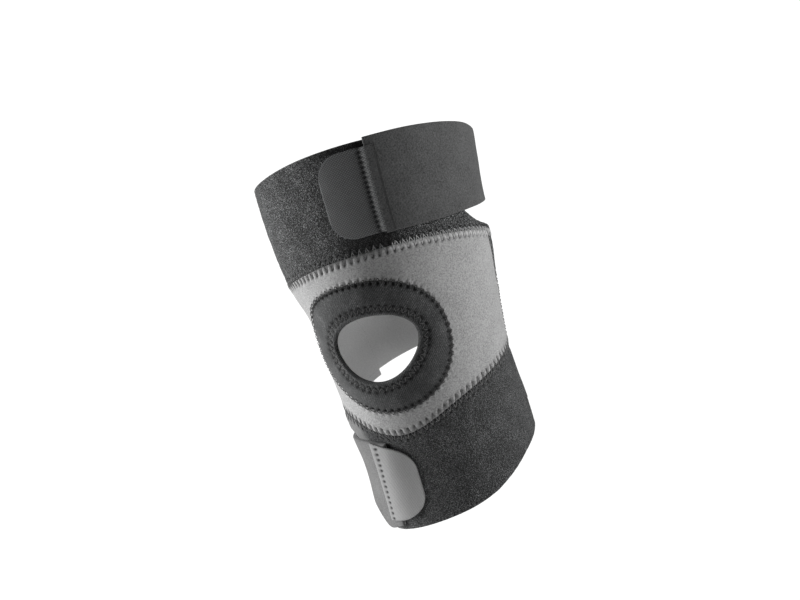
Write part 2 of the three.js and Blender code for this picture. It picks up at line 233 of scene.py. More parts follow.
# Stitching: the pitch along each kind of seam, how far its needle holes and the stitches' other ends lie
# from it, where the upper seam's light stitches begin, and the thread
SEAM_PITCH = 4.8 * MM
RING_PITCH = 4.9 * MM
OPENING_PITCH = 3.9 * MM
HOLE_INSET = 3.6 * MM
OPENING_ROWS = (3.2 * MM, 6.6 * MM)
STITCH_REACH = 3 * MM
LIGHT_STITCH_REACH = 2.2 * MM
RING_STITCH_REACH = 2 * MM
LIGHT_STITCHES = 27.0
HOLE_RADIUS = 0.55 * MM
THREAD_RADIUS = 0.24 * MM
ROW_THREAD_RADIUS = 0.3 * MM
THREAD_SHAKE = 0.3 * MM
THREAD_SINK = 0.5 * MM

# Puckers: how far the needle holes lie from the seam, how high the cloth puffs up, and the holes' depth
CUFF_INSET = 3 * MM
PANEL_PUCKER = (HOLE_INSET, 0.6 * MM, 0.9 * MM)
CUFF_PUCKER = (CUFF_INSET, 0.35 * MM, 0.7 * MM)
RING_PUCKER = (1.6 * MM, 0.5 * MM, 0.8 * MM)
ROUND_RING_PUCKER = (2 * MM, 0.35 * MM, 0.4 * MM)


# Numbers

def lerp(low, high, share):
    return low + (high - low) * share


def smoothstep(value, low, high):
    share = np.clip((value - low) / (high - low), 0, 1)
    return share * share * (3 - 2 * share)


def read_table(rows, key, column, value, period=0.0):
    """A smooth curve through one column of a table; a period makes it close on itself."""
    keys, values = rows[key], rows[column]
    value = np.asarray(value, float)
    if period:
        value = keys[0] + (value - keys[0]) % period
        below = np.searchsorted(keys, value, side="right") - 1
        keys = np.concatenate([[keys[-1] - period], keys, keys[:2] + period])
        values = np.concatenate([[values[-1]], values, values[:2]])
    else:
        below = np.clip(np.searchsorted(keys, value, side="right") - 1, 0, len(keys) - 2)
        keys = np.concatenate([keys[:1], keys, keys[-1:]])
        values = np.concatenate([values[:1], values, values[-1:]])
    keys, values = ([part[below + step] for step in range(4)] for part in (keys, values))
    span = keys[2] - keys[1]
    share = np.clip((value - keys[1]) / span, 0, 1)
    slope_in, slope_out = ((values[i + 2] - values[i]) / (keys[i + 2] - keys[i]) * span for i in (0, 1))
    square, cube = share**2, share**3
    return (
        values[1] * (2 * cube - 3 * square + 1)
        + values[2] * (3 * square - 2 * cube)
        + slope_in * (cube - 2 * square + share)
        + slope_out * (cube - square)
    )


def wander(x, y, cell, seed):
    """Smooth seeded noise from -1 to 1 over a plane, with hills about a cell wide."""
    size = 128
    lattice = np.random.default_rng(seed).uniform(-1, 1, (size, size))
    x, y = np.broadcast_arrays(np.asarray(x) / cell, np.asarray(y) / cell)
    column, row = np.floor(x).astype(int), np.floor(y).astype(int)
    across, up = smoothstep(x - column, 0, 1), smoothstep(y - row, 0, 1)
    at = lambda i, j: lattice[(column + i) % size, (row + j) % size]
    return lerp(lerp(at(0, 0), at(1, 0), across), lerp(at(0, 1), at(1, 1), across), up)


def ridge(distance, width):
    """1 on a line and nearly 0 a width away from it."""
    return np.exp(-((distance / width) ** 2) * 2)


# The leg's skin

def leg_point(angle, height):
    angle, height = np.broadcast_arrays(np.asarray(angle, float), np.asarray(height, float))
    at = np.where(height > 0, height / THIGH_LENGTH, height / CALF_LENGTH)
    read = lambda column: read_table(SECTIONS, "at", column, at)
    turn = np.radians(angle)
    forward, sideways = np.cos(turn), np.sin(turn)
    depth = np.where(forward > 0, read("front"), read("back")) * KNEE_DEPTH
    width = np.where(sideways > 0, read("right"), read("left")) * KNEE_WIDTH
    near = np.hypot(angle / TURN * math.pi * KNEE_WIDTH, height) / KNEECAP_REACH
    out = -forward * (depth + KNEECAP_RISE * np.exp(-(near**2)))
    half = math.radians(FLEXION / 2)
    radius = BEND_REACH / half
    bent = np.clip(height, -BEND_REACH, BEND_REACH)
    lean = bent / radius
    beyond = height - bent
    back = radius * (1 - np.cos(lean)) + beyond * np.sin(lean)
    up = radius * np.sin(lean) + beyond * np.cos(lean)
    return np.stack([sideways * width, back + out * np.cos(lean), up - out * np.sin(lean)], -1)


def unit(vectors):
    return vectors / np.linalg.norm(vectors, axis=-1, keepdims=True)


def skin_normal(angle, height):
    turn, rise = 0.5, 0.5 * MM
    round_leg = leg_point(angle + turn, height) - leg_point(angle - turn, height)
    up_leg = leg_point(angle, height + rise) - leg_point(angle, height - rise)
    return unit(np.cross(round_leg, up_leg))


def skin(angle, height, depth):
    """Points this far out of the leg's skin."""
    angle, height, depth = np.broadcast_arrays(angle, height, depth)
    return leg_point(angle, height) + depth[..., None] * skin_normal(angle, height)


PER_DEGREE = math.radians(KNEE_WIDTH / 2 + PANEL_WALL)
FRONT_STRETCH = 1 + (KNEE_DEPTH / 2 + PANEL_WALL) * math.radians(FLEXION / 2) / BEND_REACH
RISE = (OPENING_HEIGHT / 2 + RING_END_BAND + PANEL_RISE) / FRONT_STRETCH
DROP = (OPENING_HEIGHT / 2 + RING_END_BAND + PANEL_DROP) / FRONT_STRETCH


# Edges of the panels

def edge_height(column, length):
    """The height of an edge at any angle round the leg."""
    return lambda angle: length * read_table(EDGES, "angle", column, angle, TURN)


top_hem = edge_height("top_hem", THIGH_LENGTH)
top_seam = edge_height("top_seam", RISE)
low_seam = edge_height("low_seam", -DROP)
low_hem = edge_height("low_hem", -CALF_LENGTH)


def side_lean(height):
    """How far forward the side seams have leaned at a height."""
    return SIDE_SEAM_LEAN * np.clip(height / RISE, 0, 1)


def free_edge(angle, free_end):
    return (1 - np.clip((angle - free_end) / (SIDE_SEAM - free_end), 0, 1)) ** FREE_END_SWEEP


def thigh_cuff_top(angle):
    return lerp(top_seam(angle) + FREE_END_LIP, top_hem(angle), free_edge(angle, THIGH_CUFF_FREE_END))


def calf_cuff_low(angle):
    return lerp(low_seam(angle) - FREE_END_LIP, low_hem(angle), free_edge(-angle, CALF_CUFF_FREE_END))


def outline_place(across, rise):
    return OPENING_TURN + across / PER_DEGREE, rise / FRONT_STRETCH


def opening_edge(direction):
    rise = np.sin(direction)
    across = np.cos(direction) * (1 + OPENING_TAPER * rise)
    return outline_place(across * OPENING_WIDTH / 2, rise * OPENING_HEIGHT / 2)


def ring_edge(direction, gap=0.0):
    reach = read_table(RING_OUTLINE, "direction", "reach", np.degrees(direction), TURN)
    across = reach * np.cos(direction)
    rise = reach * np.sin(direction)
    band = np.where(across < 0, RING_LEFT_BAND, RING_RIGHT_BAND) + gap
    half_width = OPENING_WIDTH / 2 + band
    half_height = OPENING_HEIGHT / 2 + RING_END_BAND + gap
    return outline_place(across * half_width, rise * half_height)


class Line:
    """A line on the skin, measured along its length, and the stitches' pitch that divides it evenly."""

    def __init__(self, place, start, end, pitch, samples=1200):
        self.parameter = np.linspace(start, end, samples)
        points = skin(*place(self.parameter), PANEL_WALL)
        steps = np.linalg.norm(np.diff(points, axis=0), axis=1)
        self.lengths = np.concatenate([[0], np.cumsum(steps)])
        self.length = self.lengths[-1]
        self.pitch = self.length / round(self.length / pitch)

    def along(self, parameter):
        return np.interp(parameter, self.parameter, self.lengths)

    def at(self, length):
        return np.interp(length, self.lengths, self.parameter)


upper_line = Line(lambda angle: (angle, top_seam(angle)), -CUFF_SEWN_END, CUFF_SEWN_END, SEAM_PITCH)
lower_line = Line(lambda angle: (angle, low_seam(angle)), -CUFF_SEWN_END, CUFF_SEWN_END, SEAM_PITCH)
ring_line = Line(ring_edge, 0, 2 * math.pi, RING_PITCH)
opening_line = Line(opening_edge, 0, 2 * math.pi, OPENING_PITCH)


# Relief of the cloth

def settle(angle, height):
    """The sleeve's slight unevenness as worn, shared by all its layers."""
    across = ((angle + TURN / 2) % TURN - TURN / 2) * PER_DEGREE
    return 0.35 * MM * wander(across, height, 26 * MM, 3) + 0.12 * MM * wander(across, height, 9 * MM, 4)


def rounding(distance, radius=EDGE_ROUND):
    """How far a face sinks this near a cut edge."""
    near = np.clip(1 - distance / radius, 0, 1)
    return radius * (1 - np.sqrt(1 - near**2))


def from_hole(along, pitch, phase):
    """The way along a seam to the nearest needle hole."""
    return ((along / pitch - phase + 0.5) % 1 - 0.5) * pitch


def pucker(along, distance, pitch, phase, inset, puff, pit):
    """Cloth puffed up between the stitches, pulled in at each needle hole and sunk at the seam itself."""
    away = from_hole(along, pitch, phase)
    between = np.sin(math.pi * away / pitch) ** 2
    inside = 1 - smoothstep(distance, inset * 0.7, inset * 1.8)
    hole = np.hypot(away, 0.7 * (distance - inset))
    groove = 0.4 * MM * ridge(distance, 0.8 * MM)
    return puff * (between - 0.3) * inside - pit * ridge(hole, 1.7 * HOLE_RADIUS) - groove


def hole_shade(along, distance, pitch, phase, inset=HOLE_INSET, crease=0.45, size=2.4):
    """1 inside a needle hole, less in the crease from it to the seam, and 0 away from both."""
    uneven = 0.35 * MM * wander(along, distance, 2.3 * MM, 31)
    away = from_hole(along + 0.25 * (distance - inset) + uneven, pitch, phase)
    hole = ridge(np.hypot(away, 0.6 * (distance - inset)), size * HOLE_RADIUS)
    strength = 0.85 + 0.3 * wander(along, 0, 5 * MM, 37)
    return np.clip(strength * np.maximum(hole, crease * ridge(away, 0.9 * MM) * (distance < inset)), 0, 1)


def apart(angle, height, other_angle, other_height):
    """Distance over the skin between two sets of places."""
    here = skin(angle, height, PANEL_WALL)
    there = skin(other_angle, other_height, PANEL_WALL)
    return np.linalg.norm(here - there, axis=-1)


# Meshes

def spread(length, near, far, step):
    """Shares across walls of these lengths: finer in a zone of its own length and count at each side."""
    length = np.asarray(length)[:, None]
    near_zone = np.minimum(near[0], 0.3 * length)
    far_zone = np.minimum(far[0], 0.3 * length)
    between = max(4, math.ceil((length.max() - near[0] - far[0]) / step))
    first = near_zone * np.linspace(0, 1, near[1] + 1)[None] ** 1.3
    last = length - far_zone * np.linspace(1, 0, far[1] + 1)[None] ** 1.3
    middle = lerp(near_zone, length - far_zone, np.linspace(0, 1, between + 1)[None, 1:-1])
    return np.concatenate([first, middle, last], axis=1) / length


def ends(start, stop, step):
    """Angles from one to another about a step apart, with a few close to each end."""
    sign = 1 if stop > start else -1
    close = np.array([0, 1, 3, 6, 10]) * FINEST_STEP / PER_DEGREE
    inner_start, inner_stop = start + sign * close[-1], stop - sign * close[-1]
    count = math.ceil(abs(inner_stop - inner_start) * PER_DEGREE / step)
    body = np.linspace(inner_start, inner_stop, count + 1)[1:-1]
    return np.concatenate([start + sign * close, body, (stop - sign * close)[::-1]])


def put(name, data):
    """A new object of this data, in the scene."""
    thing = bpy.data.objects.new(name, data)
    bpy.context.scene.collection.objects.link(thing)
    return thing


def mesh_object(name, points, faces, uvs, materials, face_materials, shade):
    mesh = bpy.data.meshes.new(name)
    mesh.from_pydata(points.tolist(), [], faces.tolist())
    for material in materials:
        mesh.materials.append(material)
    mesh.polygons.foreach_set("material_index", face_materials)
    mesh.polygons.foreach_set("use_smooth", np.ones(len(faces), bool))
    layer = mesh.uv_layers.new(name="cloth")
    layer.data.foreach_set("uv", uvs[faces.ravel()].astype(np.float32).ravel())
    depth = mesh.attributes.new("shade", "FLOAT", "POINT")
    depth.data.foreach_set("value", shade.astype(np.float32))
    mesh.update()
    piece = put(name, mesh)
    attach(piece, "root")
    return piece


def shell(
    node, slot, angle, height, outer, inner, materials, shade=None, closed=False, faced=None, form="cloth"
):
    """A wall in its node's place. Its materials: outer side, rims, inner side and faced part."""
    columns, rows = angle.shape
    points = np.concatenate([skin(angle, height, outer), skin(angle, height, inner)]).reshape(-1, 3)
    number = np.arange(columns * rows).reshape(columns, rows)
    if closed:
        number = np.concatenate([number, number[:1]])
    quads = lambda *corners: np.stack([corner.ravel() for corner in corners], -1)
    outside = quads(number[:-1, :-1], number[1:, :-1], number[1:, 1:], number[:-1, 1:])
    under = number + columns * rows
    inside = quads(under[:-1, :-1], under[:-1, 1:], under[1:, 1:], under[1:, :-1])
    rims = [
        quads(number[:-1, 0], under[:-1, 0], under[1:, 0], number[1:, 0]),
        quads(number[:-1, -1], number[1:, -1], under[1:, -1], under[:-1, -1]),
    ]
    if not closed:
        rims += [
            quads(number[0, :-1], number[0, 1:], under[0, 1:], under[0, :-1]),
            quads(number[-1, :-1], under[-1, :-1], under[-1, 1:], number[-1, 1:]),
        ]
    rim = np.concatenate(rims)
    faces = np.concatenate([outside, inside, rim])
    kinds = np.repeat([0, 2, 1], [len(outside), len(inside), len(rim)])
    if faced is not None:
        kinds[: len(outside)][faced.ravel()] = 3
    uv = np.stack([angle * PER_DEGREE, height], -1).reshape(-1, 2)
    flat = np.zeros(columns * rows) if shade is None else shade.ravel()
    uv, flat = np.concatenate([uv, uv]), np.concatenate([flat, flat * 0])
    piece = mesh_object(f"{node}_{form}", points, faces, uv, materials, kinds, flat)
    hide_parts(node)
    return piece


def threads(name, starts, stops, material, radius=THREAD_RADIUS, lift=0.45 * MM):
    """Round threads between pairs of places, each an angle, height and depth; they rise and dive back."""
    sides, steps = 6, 8
    random = np.random.default_rng(len(starts[0]))
    shake = lambda part, unit: part + random.uniform(-1, 1, part.shape) * THREAD_SHAKE / unit
    starts, stops = ([shake(end[0], PER_DEGREE), shake(end[1], 1), end[2]] for end in (starts, stops))
    share = np.linspace(0, 1, steps + 1)[None, :]
    places = [lerp(start[:, None], stop[:, None], share) for start, stop in zip(starts, stops)]
    arch = np.sin(math.pi * share) ** 0.7
    angle, height = places[:2]
    depth = places[2] + settle(angle, height) - THREAD_SINK + (lift + THREAD_SINK) * arch
    path = skin(angle, height, depth)
    tangent = unit(np.gradient(path, axis=1))
    side = unit(np.cross(tangent, skin_normal(angle, height)))
    up = np.cross(side, tangent)
    spin = np.linspace(0, 2 * math.pi, sides, endpoint=False)
    ring = np.cos(spin)[:, None] * side[..., None, :] + np.sin(spin)[:, None] * up[..., None, :]
    points = (path[..., None, :] + radius * ring).reshape(-1, 3)
    number = np.arange(len(points)).reshape(len(path), steps + 1, sides)
    wrapped = np.concatenate([number, number[..., :1]], axis=-1)
    faces = np.stack(
        [wrapped[:, :-1, :-1], wrapped[:, :-1, 1:], wrapped[:, 1:, 1:], wrapped[:, 1:, :-1]], -1
    ).reshape(-1, 4)
    flat = np.zeros(len(points))
    uv = np.zeros((len(points), 2))
    piece = mesh_object(name, points, faces, uv, [material], np.zeros(len(faces), int), flat)


# Materials

class Finish:
    """A material's node tree, with short calls to add and join nodes."""

    def __init__(self, name, roughness, sheen=0.0):
        self.material = bpy.data.materials.new(name)
        self.material.use_nodes = True
        self.tree = self.material.node_tree
        self.surface = self.tree.nodes["Principled BSDF"]
        self.feed(self.surface, {"Roughness": roughness, "Sheen Weight": sheen, "Sheen Roughness": 0.5})
        self.feed(self.surface, {"Specular IOR Level": 0.25})
        self.coordinates = self.add("ShaderNodeTexCoord").outputs

    def add(self, kind, inputs=None, **settings):
        node = self.tree.nodes.new(kind)
        for key, value in settings.items():
            setattr(node, key, value)
        self.feed(node, inputs or {})
        return node

    def feed(self, node, inputs):
        """Joins each input to the socket given for it, or sets it to the value given."""
        for label, value in inputs.items():
            if isinstance(value, bpy.types.NodeSocket):
                self.tree.links.new(value, node.inputs[label])
            else:
                node.inputs[label].default_value = value

    def noise(self, size, detail=2.0, roughness=0.5):
        inputs = {"Scale": 1 / size, "Detail": detail, "Roughness": roughness}
        inputs["Vector"] = self.coordinates["Object"]
        return self.add("ShaderNodeTexNoise", inputs).outputs["Fac"]

    def cells(self, size):
        inputs = {"Scale": 1 / size, "Vector": self.coordinates["Object"]}
        return self.add("ShaderNodeTexVoronoi", inputs, feature="F1").outputs["Distance"]

    def stripes(self, pitch, turn, wobble):
        """Soft stripes over the cloth's own plane, turned by so many degrees."""
        inputs = {"Vector": self.coordinates["UV"], "Angle": math.radians(turn)}
        turned = self.add("ShaderNodeVectorRotate", inputs, rotation_type="Z_AXIS").outputs["Vector"]
        inputs = {"Vector": turned, "Scale": math.pi / 10 / pitch, "Distortion": wobble}
        inputs.update({"Detail": 1, "Detail Scale": 2})
        settings = {"wave_type": "BANDS", "bands_direction": "X", "wave_profile": "SIN"}
        return self.add("ShaderNodeTexWave", inputs, **settings).outputs["Fac"]

    def maths(self, operation, first, second=0.0):
        return self.add("ShaderNodeMath", {0: first, 1: second}, operation=operation).outputs["Value"]

    def between(self, factor, low, high, low_at=0.0, high_at=1.0):
        """A value that goes from low to high as the factor goes from low_at to high_at."""
        inputs = {"Value": factor, "From Min": low_at, "From Max": high_at, "To Min": low, "To Max": high}
        return self.add("ShaderNodeMapRange", inputs, clamp=True).outputs["Result"]

    def shades(self, factor, stops):
        """Greys, or colours, along a ramp of (place, colour) stops."""
        node = self.add("ShaderNodeValToRGB", {"Fac": factor})
        elements = node.color_ramp.elements
        while len(elements) < len(stops):
            elements.new(0.5)
        for element, (place, colour) in zip(elements, stops):
            element.position = place
            element.color = (*colour, 1)
        return node.outputs["Color"]

    def blend(self, *parts):
        """A sum of values, each times its weight."""
        total, *others = [self.maths("MULTIPLY", value, weight) for value, weight in parts]
        for other in others:
            total = self.maths("ADD", total, other)
        return total

    def patchy(self, mix, size, detail, swing):
        """The mix, uneven in patches of about this size."""
        return self.maths("ADD", mix, self.between(self.noise(size, detail), -swing, swing, 0.3, 0.7))

    def where_shaded(self, colour, other, strength, **settings):
        """The colour, mixed with another one as far as the shade times this strength is above 0."""
        shade = self.add("ShaderNodeAttribute", attribute_name="shade").outputs["Fac"]
        inputs = {"Factor": self.maths("MULTIPLY", shade, strength), "A": colour, "B": (*other, 1)}
        return self.add("ShaderNodeMix", inputs, data_type="RGBA", **settings).outputs["Result"]

    def with_painted_light(self, colour, light):
        """The colour, turned to a light one where the shade is below 0: painted light."""
        return self.where_shaded(colour, light, -1)

    def finish(self, colour, height, depth, strength=1.0):
        """The material, darker where it is shaded and with the height as its relief."""
        colour = self.where_shaded(colour, (0.02, 0.02, 0.02), 0.97, blend_type="MULTIPLY")
        bump = self.add("ShaderNodeBump", {"Strength": strength, "Distance": depth, "Height": height})
        self.feed(self.surface, {"Base Color": colour, "Normal": bump.outputs["Normal"]})
        return self.material


def grey(level, tint=0.0):
    """A neutral grey, slightly cold where the tint is above 0."""
    return (level * (1 - tint), level, level * (1 + tint * 0.6))


def greys(level, contrast, tint):
    return grey(level * (1 - contrast), tint), grey(level * (1 + contrast), tint)


def loop_pile(name, grain, levels):
    """Brushed loops: levels are greys for the hollows, the ground, the loops and the lit tips."""
    finish = Finish(name, 0.95, sheen=0.12)
    loops = finish.cells(1.1 * grain)
    tufts = finish.noise(grain, 2, 0.7)
    speckle = finish.patchy(finish.blend((tufts, 1.7), (loops, -0.75)), 14 * MM, 2, 0.06)
    stops = [(place, grey(level, 0.02)) for place, level in zip((0.28, 0.5, 0.7, 0.88), levels)]
    colour = finish.with_painted_light(finish.shades(speckle, stops), grey(0.3))
    return finish.finish(colour, speckle, 0.7 * MM, 0.8)


def jersey(name, level, contrast, tint=0.0):
    finish = Finish(name, 0.85, sheen=0.1)
    wales = finish.stripes(0.75 * MM, 0, 0.6)
    fibres = finish.noise(0.95 * MM, 2, 0.7)
    mix = finish.patchy(finish.blend((fibres, 0.85), (wales, 0.12)), 15 * MM, 3, 0.035)
    low, high = greys(level, contrast, tint)
    colour = finish.with_painted_light(finish.shades(mix, [(0.25, low), (0.68, high)]), grey(0.7))
    return finish.finish(colour, mix, 0.22 * MM, 0.6)


def ring_knit():
    finish = Finish("ring_knit", 0.9, sheen=0.12)
    wales = finish.stripes(1.1 * MM, 48, 1.2)
    fibres = finish.noise(0.75 * MM, 2, 0.7)
    mix = finish.patchy(finish.blend((fibres, 0.78), (wales, 0.15)), 12 * MM, 2, 0.06)
    colour = finish.shades(mix, [(0.25, grey(0.015, 0.03)), (0.55, grey(0.08, 0.02)), (0.8, grey(0.27))])
    return finish.finish(colour, mix, 0.3 * MM, 0.8)


def square_weave(name, level, contrast, pitch, tint=0.0):
    finish = Finish(name, 0.85, sheen=0.08)
    knots = finish.maths("MULTIPLY", finish.stripes(pitch, 45, 0.3), finish.stripes(pitch, -45, 0.3))
    mix = finish.blend((knots, 0.55), (finish.noise(0.5 * MM, 3, 0.6), 0.5))
    low, high = greys(level, contrast, tint)
    return finish.finish(finish.shades(mix, [(0.2, low), (0.75, high)]), mix, 0.3 * MM, 0.8)


def sewing_thread(name, level):
    finish = Finish(name, 0.75, sheen=0.1)
    fibres = finish.noise(0.4 * MM, 2, 0.6)
    colour = finish.shades(fibres, [(0.3, grey(level * 0.75)), (0.7, grey(level * 1.25))])
    return finish.finish(colour, fibres, 0.08 * MM)


thigh_pile = loop_pile("thigh_pile", 0.62 * MM, (0.006, 0.05, 0.18, 0.48))
calf_pile = loop_pile("calf_pile", 0.54 * MM, (0.016, 0.05, 0.13, 0.32))
light_jersey = jersey("light_jersey", 0.335, 0.48)
dark_jersey = jersey("dark_jersey", 0.075, 0.7, 0.01)
grey_jersey = jersey("grey_jersey", 0.15, 0.45)
knit = ring_knit()
dark_weave = square_weave("dark_weave", 0.16, 0.5, 1.2 * MM, 0.02)
grey_weave = square_weave("grey_weave", 0.35, 0.3, 1.0 * MM)
lining = jersey("lining", 0.62, 0.1)
dark_foam = jersey("dark_foam", 0.06, 0.25)
# Near-black rims of the thigh's hook tab: a painted shadow line along its edges.
shadowed_tab_rim = jersey("shadowed_tab_rim", 0.015, 0.25)
grey_foam = jersey("grey_foam", 0.14, 0.2)
# Light rims of the thigh strap: partly the foam's own colour, partly a painted highlight on its lower edge,
# which faces away from the lights.
strap_foam_and_highlight = jersey("strap_foam_and_highlight", 0.28, 0.2)
dark_thread = sewing_thread("dark_thread", 0.035)
ring_thread = sewing_thread("ring_thread", 0.11)
soft_thread = sewing_thread("soft_thread", 0.2)
light_thread = sewing_thread("light_thread", 0.55)


# Sub-parts

OVER_CUFF = PANEL_WALL + LAYER_GAP
OVER_STRAP = OVER_CUFF + STRAP_WALL + LAYER_GAP


def seam_columns(line, start, stop):
    """Angles from one to another, eight to a stitch, so that each needle hole lies on a column."""
    step = line.pitch / 8
    first, last = line.along(start), line.along(stop)
    inner = np.arange(math.ceil((first + step) / step), math.floor((last - step) / step) + 1) * step
    close = np.array([0, 1, 3, 6]) * FINEST_STEP
    lengths = np.concatenate([first + close, inner, (last - close)[::-1]])
    return line.at(np.unique(np.round(lengths, 7)))


def nearest(*distances):
    return functools.reduce(np.minimum, distances)


def end_distance(angle, start, stop):
    return np.minimum(abs(angle - start), abs(angle - stop)) * PER_DEGREE


def grid(columns, low, high, low_zone, high_zone, step=CLOTH_STEP):
    """Places in columns by rows between two heights: angle, height and how far each is from both."""
    share = spread(high - low, low_zone, high_zone, step)
    low, high = low[:, None], high[:, None]
    height = lerp(low, high, share)
    return np.repeat(columns[:, None], share.shape[1], axis=1), height, height - low, high - height


def round_band(inner, outer, inner_zone, outer_zone, step):
    """Places in columns by rows between two closed edges: angle, height and how far each is from both."""
    share = spread(apart(*inner, *outer), inner_zone, outer_zone, step)
    inner, outer = ([part[:, None] for part in edge] for edge in (inner, outer))
    angle, height = (lerp(near, far, share) for near, far in zip(inner, outer))
    return angle, height, apart(angle, height, *inner), apart(angle, height, *outer)


def nap(angle, height, seed):
    return NAP * wander(angle * PER_DEGREE, height, NAP_GRAIN, seed)


def cuff_layers(angle, height, to_seam, to_hem, line, sides, seed):
    """A cuff's outer and inner depth and the shade of its needle holes."""
    along = line.along(angle)
    relief = pucker(along, to_seam, line.pitch, 0.5, *CUFF_PUCKER)
    sink = rounding(to_seam) + rounding(to_hem, HEM_ROUND) + rounding(end_distance(angle, *sides))
    base = settle(angle, height)
    outer = PANEL_WALL + base + relief + nap(angle, height, seed) - sink
    return outer, base + rounding(to_hem), hole_shade(along, to_seam, line.pitch, 0.5, CUFF_INSET)


def thigh_cuff():
    sides = (-CUFF_SEWN_END, SIDE_SEAM)
    columns = seam_columns(upper_line, *sides)
    low = top_seam(columns) + SEAM_GAP / 2
    high = thigh_cuff_top(columns)
    angle, height, to_seam, to_hem = grid(columns, low, high, SEAM_ZONE, HEM_ZONE)
    outer, inner, shade = cuff_layers(angle, height, to_seam, to_hem, upper_line, sides, 11)
    share_up = to_seam / (top_hem(angle) - low[:, None])
    # Painted shadow on the pile in the strips below and above the hook tab.
    shadow_beside_tab = smoothstep(angle, *TAB_SHADE_COMES) * (1 - smoothstep(angle, *TAB_SHADE_GOES))
    shadow_past_tab = np.maximum(1 - smoothstep(share_up, *BELOW_TAB), smoothstep(share_up, *ABOVE_TAB))
    shade = np.maximum(shade, 0.78 * shadow_beside_tab * shadow_past_tab)
    shell("thigh_cuff", "loop_pile", angle, height, outer, inner, [thigh_pile, dark_foam, lining], shade)


def calf_cuff():
    sides = (-SIDE_SEAM, CUFF_SEWN_END)
    columns = seam_columns(lower_line, *sides)
    low = calf_cuff_low(columns)
    high = low_seam(columns) - SEAM_GAP / 2
    angle, height, to_hem, to_seam = grid(columns, low, high, HEM_ZONE, SEAM_ZONE)
    outer, inner, shade = cuff_layers(angle, height, to_seam, to_hem, lower_line, sides, 12)
    share_down = to_seam / (low_seam(angle) - low_hem(angle))
    bulge = smoothstep(angle, *LIP_SWELLS) * smoothstep(to_seam, 1 * MM, FREE_END_LIP)
    outer = outer + LIP_BULGE * bulge * (1 - smoothstep(share_down, *LIP_ENDS))
    # Painted light on the cuff's lip at the left, kept out of the needle holes' painted shade.
    lit_lip = 1 - smoothstep(angle, *LIP_LIGHT_GOES)
    shade = shade - 0.75 * lit_lip * (1 - shade)
    shell("calf_cuff", "loop_pile", angle, height, outer, inner, [calf_pile, dark_foam, lining], shade)


def front_boundary():
    """The front panel's outer edge, clockwise from its upper left corner: angle, height and direction."""
    side = SIDE_SEAM - math.degrees(2 * SEAM_GAP / KNEE_WIDTH)
    top_side = side - SIDE_SEAM_LEAN
    across_top = seam_columns(upper_line, -top_side, top_side)
    across_low = seam_columns(lower_line, -side, side)[::-1]
    top = (across_top, top_seam(across_top) - SEAM_GAP / 2)
    low = (across_low, low_seam(across_low) + SEAM_GAP / 2)
    share = np.linspace(0, 1, 44)[1:-1]
    right_height = lerp(top[1][-1], low[1][0], share)
    left_height = lerp(low[1][-1], top[1][0], share)
    right = (side - side_lean(right_height), right_height)
    left = (side_lean(left_height) - side, left_height)
    angle, height = (np.concatenate(values) for values in zip(top, right, low, left))
    ring_side = ring_edge(0.0)[0]
    ring_top = ring_edge(math.pi / 2)[1]
    return angle, height, np.arctan2(height / ring_top, (angle - OPENING_TURN) / ring_side)


def front_panel():
    *edge, direction = front_boundary()
    hole = ring_edge(direction, SEAM_GAP / 2)
    angle, height, to_ring, _ = round_band(hole, edge, RING_ZONE, SEAM_ZONE, FRONT_STEP)
    to_top = apart(angle, height, angle, top_seam(angle))
    to_low = apart(angle, height, angle, low_seam(angle))
    to_side = (SIDE_SEAM - side_lean(height) - abs(angle)) * PER_DEGREE
    up, down = upper_line.along(angle), lower_line.along(angle)
    round_ring = ring_line.along(direction % (2 * math.pi))[:, None]
    relief = pucker(up, to_top, upper_line.pitch, 0.0, *PANEL_PUCKER)
    relief += pucker(down, to_low, lower_line.pitch, 0.0, *PANEL_PUCKER)
    relief += pucker(round_ring, to_ring, ring_line.pitch, 0.0, *ROUND_RING_PUCKER)
    folded = np.exp(-(((height - FOLD_HEIGHT) / FOLD_REACH) ** 2))
    upright_fold = lambda place, width: folded * ridge((angle - place) * PER_DEGREE, width)
    relief += FOLD_DEPTH * (upright_fold(*FOLD_CREST) - upright_fold(*FOLD_VALLEY))
    base = settle(angle, height)
    to_edge = nearest(to_top, to_low, to_side, to_ring)
    outer = PANEL_WALL + base + relief - rounding(to_edge)
    # Painted shade in the seams' needle holes and creases and beside the fold; along the upper seam's right
    # part, a lighter band that is partly the light threads' colour and partly a painted highlight on the
    # puffed cloth.
    shade = hole_shade(up, to_top, upper_line.pitch, 0.0)
    shade += hole_shade(down, to_low, lower_line.pitch, 0.0, HOLE_INSET, 0.15, 1.7)
    shade += 0.16 * upright_fold(*FOLD_SHADE)
    threads_and_lit_puffs = (1 - smoothstep(to_top, 0.7 * HOLE_INSET, HOLE_INSET)) * smoothstep(angle, *SEAM_LIGHT_COMES)
    shade = np.where(shade < 0.1, shade - 0.5 * threads_and_lit_puffs, shade)
    shade = np.clip(shade, -1, 1)
    materials = [light_jersey, dark_foam, lining]
    shell("front_panel", "light_jersey", angle, height, outer, base, materials, shade, closed=True)


